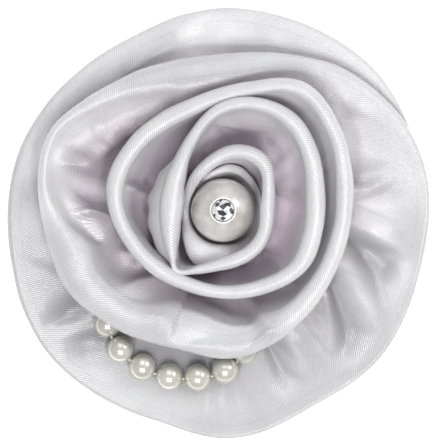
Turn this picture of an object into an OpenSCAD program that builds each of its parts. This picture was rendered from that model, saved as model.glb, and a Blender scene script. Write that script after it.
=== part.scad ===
// Flower hair clip: a rolled satin rosette with a pearl centre and a short bead swag,
// sewn to a round felt back that carries a sprung prong clip.
// It lies on its clip with the flower facing +Z and the swag towards -Y.
// The origin is the middle of its outline, at the height of the surface it lies on.

/* [Flower] */
// Mean diameter of the satin flower
flower_d = 95; // [78:1:118]
// Height of the rosette above the stiffener disc
flower_h = 17.5; // [14.5:0.5:21]
// Diameter of the centre pearl
pearl_d = 14; // [11.5:0.5:17]
// Width of a turn's gathered foot, measured along the radius
foot_w = 3.2; // [2.6:0.1:3.3]
// Growth of the gathered foot's radius in one turn
foot_pitch = 3.6; // [3.5:0.1:4.4]

/* [Crystal] */
// Girdle diameter of the crystal set in the pearl
stone_d = 4.7; // [3.8:0.1:5.7]
// Number of facets round the crystal
stone_facets = 8; // [6, 8, 10]

/* [Bead swag] */
// Diameter of one small bead
bead_d = 6; // [4.8:0.1:7.2]
// Bare thread between two beads
bead_gap = 0.32; // [0.2:0.02:0.8]
// Diameter of the hole through a bead
bead_hole_d = 1.5; // [1.2:0.1:1.8]
// Diameter of the thread
thread_d = 0.6; // [0.4:0.05:0.7]

/* [Back] */
// Diameter of the felt disc
felt_d = 56; // [46:1:67]
// Thickness of the felt disc and of the felt strap
felt_t = 1.4; // [1:0.1:1.7]
// Diameter of the stiffener disc that the satin is gathered on
stiffener_d = 50; // [42:1:60]
// Thickness of the stiffener disc
stiffener_t = 0.8; // [0.5:0.1:1.2]
// Number of whip stitches round the felt
stitch_count = 32; // [20:2:44]
// Diameter of the sewing thread
stitch_d = 0.5; // [0.3:0.05:0.6]

/* [Clip] */
// Length of the jaw, from the hinge axis to the lower tip
jaw_l = 32; // [27:0.5:38]
// Length of the finger lever, from the hinge axis to its end
finger_l = 16; // [13.5:0.5:19]
// Width of the levers at the finger pad
clip_w = 9.5; // [8.6:0.1:11.5]
// Width of the jaw at its tip
tip_w = 5; // [4:0.1:6]
// Thickness of the lever sheet
plate_t = 0.7; // [0.5:0.05:0.8]
// Clear height between the levers at the hair gap
jaw_gap = 5.25; // [5:0.05:6.3]
// Diameter of the hinge pin
pin_d = 1.8; // [1.5:0.1:2.1]
// Radial clearance of the lower ears on the pin
pin_clear = 0.05; // [0.02:0.01:0.1]
// Wire diameter of the torsion spring
wire_d = 0.6; // [0.5:0.05:0.7]
// Full coils of the torsion spring
coils = 4; // [3:1:5]
// Number of teeth on the lower tip
tooth_count = 4; // [3:1:5]

/* [Hidden] */

pearl_r = pearl_d / 2;
flower_r = flower_d / 2;
bead_r = bead_d / 2;
pin_r = pin_d / 2;
round_fn = 64;

// Heights above the middle of the hair gap, towards the front of the flower.
lever_z = jaw_gap / 2;              // inner face of the upper lever
felt_z = lever_z + plate_t;         // back face of the felt disc
stiffener_z = felt_z + felt_t;      // back face of the stiffener disc
petal_z = stiffener_z + stiffener_t; // plane that every turn of satin is gathered on

// ---- satin ----------------------------------------------------------------------------------
// The rosette is one folded strip, wound clockwise from the bud to the ruffle. Its fold is drawn
// for a flower of drawn_r with a pearl of drawn_pearl_r and a height of drawn_h, then fitted to
// the sizes above. Each row is [winding angle in degrees, radius, height, radius of the roll].
drawn_r = 47.5;
drawn_pearl_r = 7;
drawn_h = 17.5;
first_angle = 207.5;  // direction of winding angle 0, counter-clockwise from +X
fold = [
    [20, 8.5, 5, 0.9], [60, 8.7, 9, 1.1], [100, 10.5, 14, 1.4], [133, 13.3, 15.6, 1.5],
    [158, 13.5, 16, 1.5], [181, 10.8, 16, 1.5], [207, 9.8, 15.6, 1.5], [252, 10.8, 15.6, 1.5],
    [299, 11.4, 16, 1.3], [335, 14.6, 15.5, 0.9], [356, 12.9, 16.5, 1.4], [400, 11.0, 17.4, 1.8],
    [435, 13.2, 17.5, 1.6], [454, 16.8, 17.2, 1.4], [476, 22.0, 17, 1.3], [496, 24.3, 17, 1.3],
    [516, 24.5, 17, 1.6], [535, 22.5, 17, 1.9], [556, 20.4, 17, 2.0], [580, 20.1, 17, 2.0],
    [604, 20.3, 17, 1.9], [629, 18.7, 16.5, 1.6], [654, 17.8, 16, 1.4], [681, 17.7, 15.6, 1.4],
    [703, 18.8, 16, 1.5], [727, 20.6, 16, 1.5], [758, 24.0, 16, 1.5], [786, 23.7, 16, 1.5],
    [804, 23.2, 16, 1.5], [824, 23.5, 16, 1.5], [849, 26.6, 16, 1.4], [870, 31.4, 16, 1.4],
    [890, 29.7, 15.6, 1.7], [916, 26.7, 15.4, 1.9], [940, 25.8, 15, 1.9], [962, 26.2, 14.8, 1.9],
    [985, 27.8, 14.4, 2.0], [1011, 30.0, 13.8, 2.2], [1037, 29.6, 13.5, 2.5],
    [1060, 32.6, 13.5, 2.2], [1081, 36.4, 13.5, 1.5], [1106, 38.5, 13.5, 1.0],
    [1124, 40.2, 13.3, 1.0], [1145, 36.2, 13, 1.9], [1164, 32.5, 12.6, 2.6],
    [1194, 30.6, 11.6, 3.0], [1217, 33.6, 9.8, 2.6], [1236, 38.2, 7.6, 1.9], [1257, 43.0, 5.6, 1.3],
    [1279, 44.7, 4.6, 1.1], [1301, 44.2, 4.2, 1.1], [1331, 46.6, 4.0, 1.1], [1353, 46.4, 4.0, 1.1],
    [1375, 49.3, 4.0, 1.1], [1395, 47.7, 4.0, 1.1], [1429, 48.8, 4.0, 1.1], [1456, 46.7, 4.0, 1.1],
    [1484, 45.7, 4.0, 1.1], [1513, 43.0, 3.8, 1.1], [1532, 42.1, 3.4, 1.1], [1555, 43.6, 3.0, 1.0],
    [1580, 43.2, 2.6, 1.0], [1606, 43.0, 2.2, 0.9], [1640, 41.0, 1.9, 0.8]];
foot_start = 6.2;     // radius of the gathered foot at winding angle 0, beyond a drawn pearl
loft_step = 9;        // winding angle between two sections

function lerp(a, b, t) = a + (b - a) * t;
function ease(t) = let (u = min(1, max(0, t))) u * u * (3 - 2 * u);
function row_at(a, i = 0) = i >= len(fold) - 2 || a < fold[i + 1][0] ? i : row_at(a, i + 1);
function slope(i, c) = i <= 0 || i >= len(fold) - 1 ? 0
    : (fold[i + 1][c] - fold[i - 1][c]) / (fold[i + 1][0] - fold[i - 1][0]);
// A smooth curve through one column of the fold's rows.
function drawn(a, c) =
    let (i = row_at(a), w = fold[i + 1][0] - fold[i][0], t = (a - fold[i][0]) / w)
    (2 * t ^ 3 - 3 * t ^ 2 + 1) * fold[i][c] + (t ^ 3 - 2 * t ^ 2 + t) * w * slope(i, c)
    + (3 * t ^ 2 - 2 * t ^ 3) * fold[i + 1][c] + (t ^ 3 - t ^ 2) * w * slope(i + 1, c);

plan_scale = (flower_r - pearl_r) / (drawn_r - drawn_pearl_r);
rise_scale = flower_h / drawn_h;
function fold_fit(r) = pearl_r + (r - drawn_pearl_r) * plan_scale;
function fold_radius(a) = fold_fit(drawn(a, 1));
function fold_rise(a) = drawn(a, 2) * rise_scale;
function roll_radius(a) = drawn(a, 3) * min(plan_scale, rise_scale);
function foot_radius(a) = pearl_r - drawn_pearl_r + foot_start + foot_pitch * a / 360;
// 1 is a straight inner wall; the ruffle's flares like a trumpet.
function flare(a) = 1 + 1.2 * ease((a - 1000) / 260);

// Outline of the folded strip at one winding angle, as [radius, height above petal_z].
function section(a) =
    let (r = fold_radius(a), z = fold_rise(a), q = roll_radius(a),
         foot = foot_radius(a), low = z - q)
    [[foot, 0],
     for (w = [0.85, 0.6, 0.3]) [lerp(r - q, foot, w), low * (1 - w ^ flare(a))],
     [r - q, low], [r - 0.7 * q, z - 0.3 * q], [r, z], [r + 0.7 * q, z - 0.3 * q], [r + q, low],
     [lerp(r + q, foot + foot_w, 0.5), low * 0.5], [foot + foot_w, 0]];

function turned(p, a) = [p[0] * cos(first_angle - a), p[0] * sin(first_angle - a), p[1]];

// Sections of one stretch of the strip.
function stretch(from, to) = let (steps = ceil((to - from) / loft_step))
    [for (i = [0 : steps]) let (a = lerp(from, to, i / steps)) [for (p = section(a)) turned(p, a)]];
module strip(from, to) translate([0, 0, petal_z]) color([0.87, 0.85, 0.88]) loft(stretch(from, to));

// Winding angles where one turn of the strip hands over to the next.
bud_at = fold[0][0];
inner_at = 335;
middle_at = 690;
outer_at = 1045;
ruffle_at = 1257;
strip_end = fold[len(fold) - 1][0];

// ---- shared solids --------------------------------------------------------------------------
// A closed solid through rings of points that all have the same number of points.
module loft(rings) {
    n = len(rings[0]);
    last = len(rings) - 1;
    faces = concat(
        [[for (k = [n - 1 : -1 : 0]) k]],
        [[for (k = [0 : n - 1]) last * n + k]],
        [for (i = [0 : last - 1], k = [0 : n - 1]) let (m = (k + 1) % n)
            [i * n + k, i * n + m, (i + 1) * n + k]],
        [for (i = [0 : last - 1], k = [0 : n - 1]) let (m = (k + 1) % n)
            [i * n + m, (i + 1) * n + m, (i + 1) * n + k]]);
    polyhedron([for (ring = rings, p = ring) p], faces);
}

function unit(v) = v / norm(v);
function heading(path, i) = unit(path[min(i + 1, len(path) - 1)] - path[max(i - 1, 0)]);

// A round tube along a path. reference is a direction that the path never takes.
module tube(path, r, sides, reference) {
    loft([for (i = [0 : len(path) - 1])
        let (t = heading(path, i), u = unit(cross(t, reference)), v = cross(u, t))
        [for (k = [0 : sides - 1]) path[i] + r * (cos(k * 360 / sides) * u + sin(k * 360 / sides) * v)]]);
}

// ---- pearl and crystal ----------------------------------------------------------------------
pearl_lift = 1.5;     // gap under the pearl, filled with glue
pearl_z = petal_z + pearl_lift + pearl_r;
stone_r = stone_d / 2;
girdle_h = 0.2;
crown_h = 0.22 * stone_d;
pavilion_h = 0.4 * stone_d;
table_share = 0.56;   // table width over girdle width
stone_clear = 0.04;
// The girdle is level with the pearl's surface at the edge of its seat.
girdle_z = pearl_z + sqrt(pearl_r ^ 2 - stone_r ^ 2);

module centre_pearl() color([0.9, 0.87, 0.83]) difference() {
    translate([0, 0, pearl_z]) sphere(pearl_r, $fn = round_fn);
    translate([0, 0, girdle_z - pavilion_h - 2 * stone_clear])
        cylinder(pavilion_h + 2 * stone_clear, 0.1, stone_r + stone_clear, $fn = round_fn);
    translate([0, 0, girdle_z])
        cylinder(pearl_r, stone_r + stone_clear, stone_r + pearl_r, $fn = round_fn);
}

module centre_crystal() color([0.95, 0.97, 1]) translate([0, 0, girdle_z]) {
    translate([0, 0, -pavilion_h]) cylinder(pavilion_h, 0.06, stone_r, $fn = stone_facets);
    cylinder(girdle_h, r = stone_r, $fn = stone_facets);
    translate([0, 0, girdle_h]) cylinder(crown_h, stone_r, table_share * stone_r, $fn = stone_facets);
}

glue_r = 4.4;
glue_clear = 0.02;
module pearl_glue() color([0.93, 0.92, 0.85]) difference() {
    translate([0, 0, petal_z]) cylinder(2.6 + pearl_lift, r = glue_r, $fn = round_fn);
    translate([0, 0, pearl_z]) sphere(pearl_r + glue_clear, $fn = round_fn);
}

// ---- bead swag ------------------------------------------------------------------------------
// Route of the thread, from the foot of the outer petal, round the swag and back under the fold.
// It is drawn for the same flower as the fold, with its satin gathered at drawn_petal_z.
drawn_petal_z = 5.525;
swag_route = [
    [-20.3, -12.8, 7.1], [-22.0, -13.6, 8], [-24, -15.4, 9.5], [-25.7, -18.2, 10.8],
    [-26.2, -21.6, 11.8], [-25.3, -25.4, 12.3], [-24.1, -28.4, 12.5], [-22.3, -31.1, 12.5],
    [-19.8, -33.2, 12.5], [-17, -34.8, 12.5], [-14.1, -36.1, 12.5], [-11, -36.8, 12.5],
    [-8, -36.9, 12.5], [-4.9, -36.6, 12.5], [-1.8, -36.2, 12.5], [1.0, -35, 12.3],
    [3.4, -32.9, 11.9], [5.2, -30.5, 11.3], [6.4, -28.1, 10.4], [7.1, -25.9, 9.2],
    [7.3, -24.1, 8.1], [7.2, -22.9, 7.3]];
first_bead_at = 15.8 * plan_scale; // distance along the thread to the first bead's middle
bead_stretch = 38.2 * plan_scale;  // distance along the thread that the beads may fill
thread_sides = 8;

function between(p, i, t) =
    let (a = p[max(i - 1, 0)], b = p[i], c = p[i + 1], d = p[min(i + 2, len(p) - 1)])
    b + 0.5 * t * (c - a + t * (2 * a - 5 * b + 4 * c - d + t * (3 * b - a - 3 * c + d)));
function fitted(p) = let (r = norm([p[0], p[1]]), out = (fold_fit(r) / r))
    [p[0] * out, p[1] * out, petal_z + (p[2] - drawn_petal_z) * rise_scale];
swag_fitted = [for (p = swag_route) fitted(p)];
swag_path = [for (i = [0 : len(swag_fitted) - 2], t = [0, 0.5]) between(swag_fitted, i, t),
             swag_fitted[len(swag_fitted) - 1]];
function place_along(path, s, i = 0) =
    let (l = norm(path[i + 1] - path[i]))
    s <= l || i >= len(path) - 2 ? path[i] + (path[i + 1] - path[i]) * s / l
    : place_along(path, s - l, i + 1);
bead_count = floor(bead_stretch / (bead_d + bead_gap)) + 1;

module swag_beads() color([0.93, 0.92, 0.86]) for (i = [0 : bead_count - 1]) {
    s = first_bead_at + i * (bead_d + bead_gap);
    before = place_along(swag_path, s - bead_r);
    after = place_along(swag_path, s + bead_r);
    axis = after - before;
    // The thread bends inside the bore, so the bead sits halfway between its bend and its chord.
    translate((before + after) / 4 + place_along(swag_path, s) / 2)
        rotate([0, acos(axis[2] / norm(axis)), atan2(axis[1], axis[0])]) difference() {
        sphere(bead_r, $fn = round_fn);
        cylinder(2 * bead_d, r = bead_hole_d / 2, center = true, $fn = round_fn);
    }
}

module swag_thread() color([0.92, 0.9, 0.82])
    tube(swag_path, thread_d / 2, thread_sides, [0, 0, 1]);

// ---- clip -----------------------------------------------------------------------------------
lip_gap = 1;                  // between the lower teeth and the upper lever's front lip
clip_l = finger_l + jaw_l + lip_gap + plate_t;
hinge_x = finger_l - clip_l / 2;  // the clip is centred on the flower
tip_x = hinge_x + jaw_l;
finger_x = hinge_x - finger_l;
ear_r = pin_r + 1.25;         // round end of an ear, about the pin
ear_gap = 0.2;                // side clearance between an upper and a lower ear
ear_out = clip_w / 2 - 0.25;  // outer face of the upper ears
ear_mid = ear_out - plate_t;  // inner face of the upper ears
ear_in = ear_mid - ear_gap - plate_t; // inner face of the lower ears
lip_x = tip_x + lip_gap;      // inner face of the upper lever's front lip
lip_h = 1.8;
tip_clear = 0.3;              // between the lower teeth and the upper lever
lower_z = -jaw_gap / 2 - plate_t / 2; // middle of the lower sheet along the gap
finger_drop = 6.2;            // how far the finger pad stands off the jaw's line
tooth_h = 1.1;

// Plan of a lever from its finger pad to the end of its jaw.
module lever_plan(jaw_end) {
    pad_r = clip_w / 2;
    neck_w = 2 * ear_out;
    translate([finger_x + pad_r, 0]) circle(pad_r, $fn = round_fn);
    polygon([[finger_x + pad_r, pad_r], [hinge_x - 4.5, neck_w / 2], [hinge_x + 3.5, neck_w / 2],
             [jaw_end, tip_w / 2], [jaw_end, -tip_w / 2], [hinge_x + 3.5, -neck_w / 2],
             [hinge_x - 4.5, -neck_w / 2], [finger_x + pad_r, -pad_r]]);
}

// A pair of ears between two distances from the middle, joined to a sheet at height to_z.
module ears(inner, outer, to_z, hole_r) for (side = [-1, 1])
    translate([hinge_x, side > 0 ? outer : -inner, 0]) rotate([90, 0, 0])
        linear_extrude(outer - inner) difference() {
            union() {
                circle(ear_r, $fn = round_fn);
                translate([-ear_r, min(0, to_z)]) square([2 * ear_r, abs(to_z)]);
            }
            circle(hole_r, $fn = round_fn);
        }

module upper_lever() color([0.78, 0.78, 0.8]) {
    translate([0, 0, lever_z]) linear_extrude(plate_t) lever_plan(lip_x + plate_t);
    ears(ear_mid, ear_out, lever_z + plate_t / 2, pin_r + 0.01);
    translate([lip_x, -tip_w / 2, lever_z - lip_h]) cube([plate_t, tip_w, lip_h + plate_t / 2]);
}

// Middle line of the lower sheet in side view, from the finger pad to the teeth.
lower_line = [
    [finger_x - 0.3, lower_z - finger_drop - 0.5], [finger_x + 1, lower_z - finger_drop + 0.2],
    [hinge_x - 5, lower_z - 1.5], [hinge_x - 3, lower_z - 0.82], [hinge_x - 1, lower_z - 0.35],
    [hinge_x + 1, lower_z - 0.1], [hinge_x + 3.5, lower_z], [tip_x - 7, lower_z],
    [tip_x - 4.6, lower_z + 0.4], [tip_x - 2.6, lower_z + 1.3], [tip_x - 1.2, lower_z + 2.6],
    [tip_x - 0.5, lower_z + 4], [tip_x - plate_t / 2, lever_z - tip_clear]];
function side_of(line, i) = let (t = heading(line, i)) [-t[1], t[0]] * plate_t / 2;

module lower_sheet() rotate([90, 0, 0]) linear_extrude(2 * clip_w, center = true)
    polygon([for (i = [0 : len(lower_line) - 1]) lower_line[i] + side_of(lower_line, i),
             for (i = [len(lower_line) - 1 : -1 : 0]) lower_line[i] - side_of(lower_line, i)]);

module lower_lever() color([0.78, 0.78, 0.8]) difference() {
    union() {
        intersection() {
            lower_sheet();
            translate([0, 0, -2 * clip_w]) linear_extrude(4 * clip_w) lever_plan(tip_x + plate_t);
        }
        ears(ear_in, ear_in + plate_t, lower_z, pin_r + pin_clear);
    }
    // V notches between the teeth
    for (i = [1 : tooth_count - 1])
        translate([tip_x, (i / tooth_count - 0.5) * tip_w, lever_z - tip_clear]) rotate([0, 0, 90])
            rotate([90, 0, 0]) linear_extrude(4, center = true)
                polygon([[-0.42, 0.2], [0.42, 0.2], [0, -tooth_h]]);
}

pin_head_r = pin_r + 0.6;
pin_head_h = 0.5;
module hinge_pin() color([0.7, 0.7, 0.72]) translate([hinge_x, 0, 0]) rotate([90, 0, 0]) {
    cylinder(2 * ear_out, r = pin_r, center = true, $fn = round_fn);
    for (side = [-1, 1]) translate([0, 0, side * (ear_out + pin_head_h / 2)])
        cylinder(pin_head_h, r = pin_head_r, center = true, $fn = round_fn);
}

coil_r = pin_r + 0.3 + wire_d / 2;
coil_pitch = wire_d + 0.12;
coil_steps = 14;
leg_l = 7.5;
leg_clear = 0.05;     // between a leg's end and its lever
pad_lean = 1.12;      // upright distance over distance square to the sloping finger pad
// The upper leg, the coil from its top round to its bottom, then the lower leg.
spring_path = let (
        turns = coils + 0.5, half = turns * coil_pitch / 2,
        leg_top = lever_z - wire_d / 2 - leg_clear,
        leg_low = lookup(hinge_x - leg_l, lower_line) + pad_lean * (plate_t + wire_d) / 2 + leg_clear)
    [[hinge_x - leg_l, half, leg_top], [hinge_x - leg_l / 2, half, lerp(coil_r, leg_top, 0.55)],
     for (k = [0 : turns * coil_steps]) let (a = 90 - k * 360 / coil_steps)
        [hinge_x + coil_r * cos(a), half - coil_pitch * k / coil_steps, coil_r * sin(a)],
     [hinge_x - leg_l / 2, -half, lerp(-coil_r, leg_low, 0.42)],
     [hinge_x - leg_l, -half, leg_low]];
module torsion_spring() color([0.72, 0.72, 0.75]) tube(spring_path, wire_d / 2, 8, [0, 1, 0]);

// ---- back -----------------------------------------------------------------------------------
module stiffener_disc() color([0.9, 0.89, 0.86]) translate([0, 0, stiffener_z])
    cylinder(stiffener_t, r = stiffener_d / 2, $fn = round_fn);

module felt_back() color([0.86, 0.84, 0.86]) translate([0, 0, felt_z])
    cylinder(felt_t, r = felt_d / 2, $fn = round_fn);

strap_l = 28;         // from end to end, across the lever
strap_w = 10;
strap_x = hinge_x + 3.2;
strap_clear = 0.15;   // beside the lever
module felt_strap() color([0.86, 0.84, 0.86]) {
    in = ear_out + strap_clear;
    half = [[strap_l / 2, felt_z], [strap_l / 2, felt_z - felt_t], [in + felt_t, felt_z - felt_t],
            [in, lever_z - felt_t]];
    translate([strap_x, 0, 0]) rotate([90, 0, 90]) linear_extrude(strap_w)
        polygon([for (p = half) p, for (i = [3 : -1 : 0]) [-half[i][0], half[i][1]],
                 [-in, felt_z], [-in, lever_z], [in, lever_z], [in, felt_z]]);
}

stitch_l = 3;
stitch_inset = 2.1;   // from the felt's rim to a stitch's middle
stitch_slant = 18;
stitch_lap = 0.6;     // from the lever's side to the nearest stitch that it doesn't cover
module felt_stitches() color([0.8, 0.78, 0.82]) for (i = [0 : stitch_count - 1]) {
    a = (i + 0.5) * 360 / stitch_count;
    r = felt_d / 2 - stitch_inset;
    if (abs(r * sin(a)) > clip_w / 2 + stitch_lap)
        rotate([0, 0, a]) translate([r, 0, felt_z - stitch_d / 2]) rotate([0, 90, stitch_slant])
            cylinder(stitch_l, r = stitch_d / 2, center = true, $fn = 16);
}

// ---- the whole clip, set on the surface it lies on -------------------------------------------
// Plan of the ruffle's edge, which is the outline of the whole clip.
ruffle_edge = [for (ring = stretch(ruffle_at, strip_end), p = ring) p];
edge_x = [for (p = ruffle_edge) p[0]];
edge_y = [for (p = ruffle_edge) p[1]];
middle = [(min(edge_x) + max(edge_x)) / 2, (min(edge_y) + max(edge_y)) / 2];
pad_under = [for (i = [0 : 1]) lower_line[i] - side_of(lower_line, i)];
pad_run = (finger_x - pad_under[0][0]) / (pad_under[1][0] - pad_under[0][0]);
lowest = lerp(pad_under[0][1], pad_under[1][1], pad_run);
module lying() translate([-middle[0], -middle[1], -lowest]) children();

lying() strip(bud_at, inner_at);  // bud_fold
lying() strip(inner_at, middle_at);  // inner_petal
lying() strip(middle_at, outer_at);  // middle_petal
lying() strip(outer_at, ruffle_at);  // outer_petal
lying() strip(ruffle_at, strip_end);  // base_ruffle
lying() centre_pearl();
lying() centre_crystal();
lying() pearl_glue();
lying() swag_beads();
lying() swag_thread();
lying() stiffener_disc();
lying() felt_back();
lying() felt_strap();
lying() felt_stitches();
lying() upper_lever();
lying() lower_lever();
lying() hinge_pin();
lying() torsion_spring();
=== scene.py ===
"""Flower hair clip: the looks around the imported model.

Everything is in metres in the part's own frame: the flower faces +Z, the bead swag is towards -Y,
and the clip lies along X underneath. Lengths written in millimetres are multiplied by MM.
"""

import math

import bpy
import numpy as np
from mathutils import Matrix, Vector


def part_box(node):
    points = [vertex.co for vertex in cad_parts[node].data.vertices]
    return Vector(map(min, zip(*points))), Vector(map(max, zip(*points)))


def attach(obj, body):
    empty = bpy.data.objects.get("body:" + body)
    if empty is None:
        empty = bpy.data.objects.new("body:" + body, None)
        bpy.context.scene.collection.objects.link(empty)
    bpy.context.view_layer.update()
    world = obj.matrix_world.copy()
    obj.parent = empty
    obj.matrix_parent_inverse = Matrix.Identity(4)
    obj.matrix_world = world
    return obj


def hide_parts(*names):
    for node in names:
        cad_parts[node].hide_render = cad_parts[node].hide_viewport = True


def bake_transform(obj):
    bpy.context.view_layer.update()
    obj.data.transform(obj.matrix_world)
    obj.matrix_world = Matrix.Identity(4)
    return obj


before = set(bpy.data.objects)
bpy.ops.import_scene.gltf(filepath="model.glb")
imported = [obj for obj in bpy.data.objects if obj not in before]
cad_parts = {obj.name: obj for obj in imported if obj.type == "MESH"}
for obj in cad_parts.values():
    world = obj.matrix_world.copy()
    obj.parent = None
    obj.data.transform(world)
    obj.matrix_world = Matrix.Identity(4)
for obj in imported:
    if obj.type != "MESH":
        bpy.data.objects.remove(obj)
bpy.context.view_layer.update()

MM = 0.001


def corners(node):
    """The low and high corner of a CAD node's box."""
    return tuple(np.array(c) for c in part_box(node))


# ---- places taken from the frame ----
pearl_low, pearl_high = corners("centre_pearl")
stiff_low, stiff_high = corners("stiffener_disc")
felt_low, felt_high = corners("felt_back")
BLOOM = np.array([(stiff_low[0] + stiff_high[0]) / 2, (stiff_low[1] + stiff_high[1]) / 2])
PETAL_Z = stiff_high[2]            # plane that the satin is gathered on
PEARL_R = (pearl_high[0] - pearl_low[0]) / 2


# ---- camera ----
def make_camera():
    """Straight above the flower with a long lens, framed as 432 x 446."""
    distance = 0.75
    view_width = 0.0951              # what the frame's width covers at the ruffle's edge
    aim = (-0.0007, 0.0)
    edge_z = PETAL_Z + 4 * MM
    data = bpy.data.cameras.new("camera")
    data.sensor_fit = "HORIZONTAL"
    data.sensor_width = 36
    data.lens = data.sensor_width * distance / view_width
    data.clip_start = 0.01
    data.clip_end = 10
    camera = bpy.data.objects.new("camera", data)
    camera.location = (aim[0], aim[1], edge_z + distance)
    bpy.context.collection.objects.link(camera)
    bpy.context.scene.camera = camera


make_camera()


# ---- mesh helpers ----
def mesh_object(name, verts, faces, smooth=True):
    mesh = bpy.data.meshes.new(name)
    mesh.from_pydata([tuple(v) for v in np.asarray(verts)], [], [tuple(f) for f in faces])
    mesh.validate()
    mesh.update()
    if smooth:
        mesh.polygons.foreach_set("use_smooth", [True] * len(mesh.polygons))
    obj = bpy.data.objects.new(name, mesh)
    bpy.context.collection.objects.link(obj)
    return obj


def grid_faces(rows, cols, close_rows=False, close_cols=False):
    """Quads of a grid whose point (r, c) has index r * cols + c."""
    faces = []
    for r in range(rows if close_rows else rows - 1):
        for c in range(cols if close_cols else cols - 1):
            s, d = (r + 1) % rows, (c + 1) % cols
            faces.append((r * cols + c, s * cols + c, s * cols + d, r * cols + d))
    return faces


def grid_uv(obj, rows, cols, u, v):
    """UVs in metres from two grids of coordinates."""
    layer = obj.data.uv_layers.new(name="weave")
    index = np.empty(len(obj.data.loops), dtype=np.int64)
    obj.data.loops.foreach_get("vertex_index", index)
    uv = np.stack([u.reshape(-1)[index], v.reshape(-1)[index]], axis=1)
    layer.data.foreach_set("uv", uv.reshape(-1))


def add_values(obj, name, values, domain="POINT"):
    """One number per vertex or face, for a material to read."""
    layer = obj.data.attributes.new(name=name, type="FLOAT", domain=domain)
    layer.data.foreach_set("value", np.asarray(values, dtype=np.float32).reshape(-1))


def from_axis(face):
    """How far the middle of a face is from the flower's axis."""
    return math.hypot(face.center[0] - BLOOM[0], face.center[1] - BLOOM[1])


def smooth_noise(x, seed, size):
    """Smooth noise between -1 and 1 along x, with features of about the given size."""
    rng = np.random.default_rng(seed)
    values = rng.uniform(-1, 1, 4096)
    t = np.asarray(x) / size + 1000
    i = np.floor(t).astype(int)
    f = t - i
    f = f * f * (3 - 2 * f)
    return values[i % 4096] * (1 - f) + values[(i + 1) % 4096] * f


def smooth_noise2(x, y, seed, size_x, size_y):
    """Smooth noise between -1 and 1 over a plane."""
    rng = np.random.default_rng(seed)
    values = rng.uniform(-1, 1, (512, 512))
    tx, ty = np.asarray(x) / size_x + 700, np.asarray(y) / size_y + 700
    ix, iy = np.floor(tx).astype(int), np.floor(ty).astype(int)
    fx, fy = tx - ix, ty - iy
    fx, fy = fx * fx * (3 - 2 * fx), fy * fy * (3 - 2 * fy)
    a, b = values[ix % 512, iy % 512], values[(ix + 1) % 512, iy % 512]
    c, d = values[ix % 512, (iy + 1) % 512], values[(ix + 1) % 512, (iy + 1) % 512]
    return (a * (1 - fx) + b * fx) * (1 - fy) + (c * (1 - fx) + d * fx) * fy


def ease(t):
    """A smooth step from 0 to 1."""
    t = np.clip(t, 0, 1)
    return t * t * (3 - 2 * t)


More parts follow.
